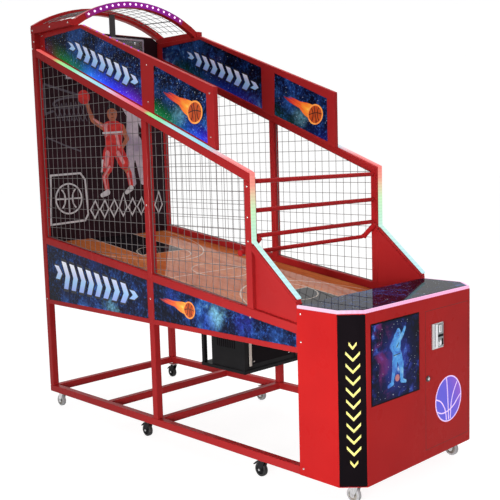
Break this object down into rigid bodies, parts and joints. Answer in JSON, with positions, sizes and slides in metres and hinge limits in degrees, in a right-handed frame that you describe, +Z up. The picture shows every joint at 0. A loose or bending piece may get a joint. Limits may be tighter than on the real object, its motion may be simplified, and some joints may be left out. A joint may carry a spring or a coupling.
{
  "type": "basketball hoop arcade machine",
  "caption": "Coin operated basketball shooting machine: wheeled steel frame with mesh sides, sloping court deck, hoop under an arched canopy, and a front coin cabinet.",
  "frame": {"origin": "on the floor under the middle of the bounding box", "axes": "+Z up, the player stands on the -Y side and faces +Y, +X to the player's right"},
  "size_m": [1, 2.469, 2.5],
  "materials": {
    "red_powder_coat": "gloss powder coat",
    "printed_panel": "glossy printed film",
    "black_board": "satin print",
    "court_board": "high gloss varnish",
    "wire": "satin",
    "clear_sheet": "clear",
    "bright_steel": "brushed",
    "rim_orange": "gloss",
    "net_cord": "braided cord",
    "gloss_top": "mirror gloss",
    "led_diffuser": "frosted diffuser",
    "black_plastic": "satin",
    "caster_steel": "zinc plated",
    "caster_tyre": "satin"
  },
  "bodies": {
    "root": {"apron_front_left": "red_powder_coat", "apron_front_right": "red_powder_coat", "apron_rear_left": "red_powder_coat", "apron_rear_right": "red_powder_coat", "back_panel": "black_board", "backboard": "clear_sheet", "backboard_hanger": "bright_steel", "base_frame": "red_powder_coat", "cabinet_shell": "red_powder_coat", "cabinet_top": "gloss_top", "canopy_frame": "red_powder_coat", "canopy_mesh": "wire", "cash_box": "black_plastic", "cheek_left": "red_powder_coat", "cheek_right": "red_powder_coat", "control_box": "black_plastic", "deck": "court_board", "front_post_left": "red_powder_coat", "front_post_right": "red_powder_coat", "gate_actuator": "black_plastic", "guard_rail": "red_powder_coat", "header_left": "printed_panel", "header_right": "printed_panel", "hoop_rim": "rim_orange", "led_strip": "led_diffuser", "lower_guard_bar": "red_powder_coat", "mid_post_left": "red_powder_coat", "mid_post_right": "red_powder_coat", "net": "net_cord", "rear_post_left": "red_powder_coat", "rear_post_right": "red_powder_coat", "score_display": "black_plastic", "side_mesh_front_left": "wire", "side_mesh_front_right": "wire", "side_mesh_rear_left": "wire", "side_mesh_rear_right": "wire", "slope_rail_left": "red_powder_coat", "slope_rail_right": "red_powder_coat", "trough_board": "court_board"},
    "door": {"coin_door": "red_powder_coat", "coin_mech": "bright_steel"},
    "lock": {"door_lock": "bright_steel"},
    "reject_button": {"reject_button": "bright_steel"},
    "gate": {"gate_plate": "black_plastic"},
    "swivel_left_1": {"caster_fork_left_1": "caster_steel"},
    "wheel_left_1": {"caster_wheel_left_1": "caster_tyre"},
    "swivel_left_2": {"caster_fork_left_2": "caster_steel"},
    "wheel_left_2": {"caster_wheel_left_2": "caster_tyre"},
    "swivel_left_3": {"caster_fork_left_3": "caster_steel"},
    "wheel_left_3": {"caster_wheel_left_3": "caster_tyre"},
    "swivel_left_4": {"caster_fork_left_4": "caster_steel"},
    "wheel_left_4": {"caster_wheel_left_4": "caster_tyre"},
    "swivel_right_1": {"caster_fork_right_1": "caster_steel"},
    "wheel_right_1": {"caster_wheel_right_1": "caster_tyre"},
    "swivel_right_2": {"caster_fork_right_2": "caster_steel"},
    "wheel_right_2": {"caster_wheel_right_2": "caster_tyre"},
    "swivel_right_3": {"caster_fork_right_3": "caster_steel"},
    "wheel_right_3": {"caster_wheel_right_3": "caster_tyre"},
    "swivel_right_4": {"caster_fork_right_4": "caster_steel"},
    "wheel_right_4": {"caster_wheel_right_4": "caster_tyre"}
  },
  "joints": [
    {"name": "coin_door_hinge", "type": "hinge", "parent": "root", "child": "door", "pos_m": [0.3968, -1.2205, 0.475], "axis": [0, 0, 1], "range_deg": [0, 110]},
    {"name": "door_lock_turn", "type": "hinge", "parent": "door", "child": "lock", "pos_m": [0.047, -1.2205, 0.486], "axis": [0, -1, 0], "range_deg": [0, 90]},
    {"name": "reject_button_press", "type": "slide", "parent": "door", "child": "reject_button", "axis": [0, 1, 0], "range_m": [0, 0.004], "stiffness_N_per_m": 300},
    {"name": "gate_lift", "type": "slide", "parent": "root", "child": "gate", "axis": [0, 0, 1], "range_m": [0, 0.105]},
    {"name": "caster_swivel_left_1", "type": "hinge", "parent": "root", "child": "swivel_left_1", "pos_m": [-0.395, -1.1455, 0.09], "axis": [0, 0, 1], "continuous": true},
    {"name": "caster_spin_left_1", "type": "hinge", "parent": "swivel_left_1", "child": "wheel_left_1", "pos_m": [-0.395, -1.1275, 0.035], "axis": [1, 0, 0], "continuous": true},
    {"name": "caster_swivel_left_2", "type": "hinge", "parent": "root", "child": "swivel_left_2", "pos_m": [-0.452, -0.6205, 0.09], "axis": [0, 0, 1], "continuous": true},
    {"name": "caster_spin_left_2", "type": "hinge", "parent": "swivel_left_2", "child": "wheel_left_2", "pos_m": [-0.452, -0.6025, 0.035], "axis": [1, 0, 0], "continuous": true},
    {"name": "caster_swivel_left_3", "type": "hinge", "parent": "root", "child": "swivel_left_3", "pos_m": [-0.452, 0.2795, 0.09], "axis": [0, 0, 1], "continuous": true},
    {"name": "caster_spin_left_3", "type": "hinge", "parent": "swivel_left_3", "child": "wheel_left_3", "pos_m": [-0.452, 0.2975, 0.035], "axis": [1, 0, 0], "continuous": true},
    {"name": "caster_swivel_left_4", "type": "hinge", "parent": "root", "child": "swivel_left_4", "pos_m": [-0.452, 1.1695, 0.09], "axis": [0, 0, 1], "continuous": true},
    {"name": "caster_spin_left_4", "type": "hinge", "parent": "swivel_left_4", "child": "wheel_left_4", "pos_m": [-0.452, 1.1875, 0.035], "axis": [1, 0, 0], "continuous": true},
    {"name": "caster_swivel_right_1", "type": "hinge", "parent": "root", "child": "swivel_right_1", "pos_m": [0.395, -1.1455, 0.09], "axis": [0, 0, 1], "continuous": true},
    {"name": "caster_spin_right_1", "type": "hinge", "parent": "swivel_right_1", "child": "wheel_right_1", "pos_m": [0.395, -1.1275, 0.035], "axis": [1, 0, 0], "continuous": true},
    {"name": "caster_swivel_right_2", "type": "hinge", "parent": "root", "child": "swivel_right_2", "pos_m": [0.452, -0.6205, 0.09], "axis": [0, 0, 1], "continuous": true},
    {"name": "caster_spin_right_2", "type": "hinge", "parent": "swivel_right_2", "child": "wheel_right_2", "pos_m": [0.452, -0.6025, 0.035], "axis": [1, 0, 0], "continuous": true},
    {"name": "caster_swivel_right_3", "type": "hinge", "parent": "root", "child": "swivel_right_3", "pos_m": [0.452, 0.2795, 0.09], "axis": [0, 0, 1], "continuous": true},
    {"name": "caster_spin_right_3", "type": "hinge", "parent": "swivel_right_3", "child": "wheel_right_3", "pos_m": [0.452, 0.2975, 0.035], "axis": [1, 0, 0], "continuous": true},
    {"name": "caster_swivel_right_4", "type": "hinge", "parent": "root", "child": "swivel_right_4", "pos_m": [0.452, 1.1695, 0.09], "axis": [0, 0, 1], "continuous": true},
    {"name": "caster_spin_right_4", "type": "hinge", "parent": "swivel_right_4", "child": "wheel_right_4", "pos_m": [0.452, 1.1875, 0.035], "axis": [1, 0, 0], "continuous": true}
  ]
}
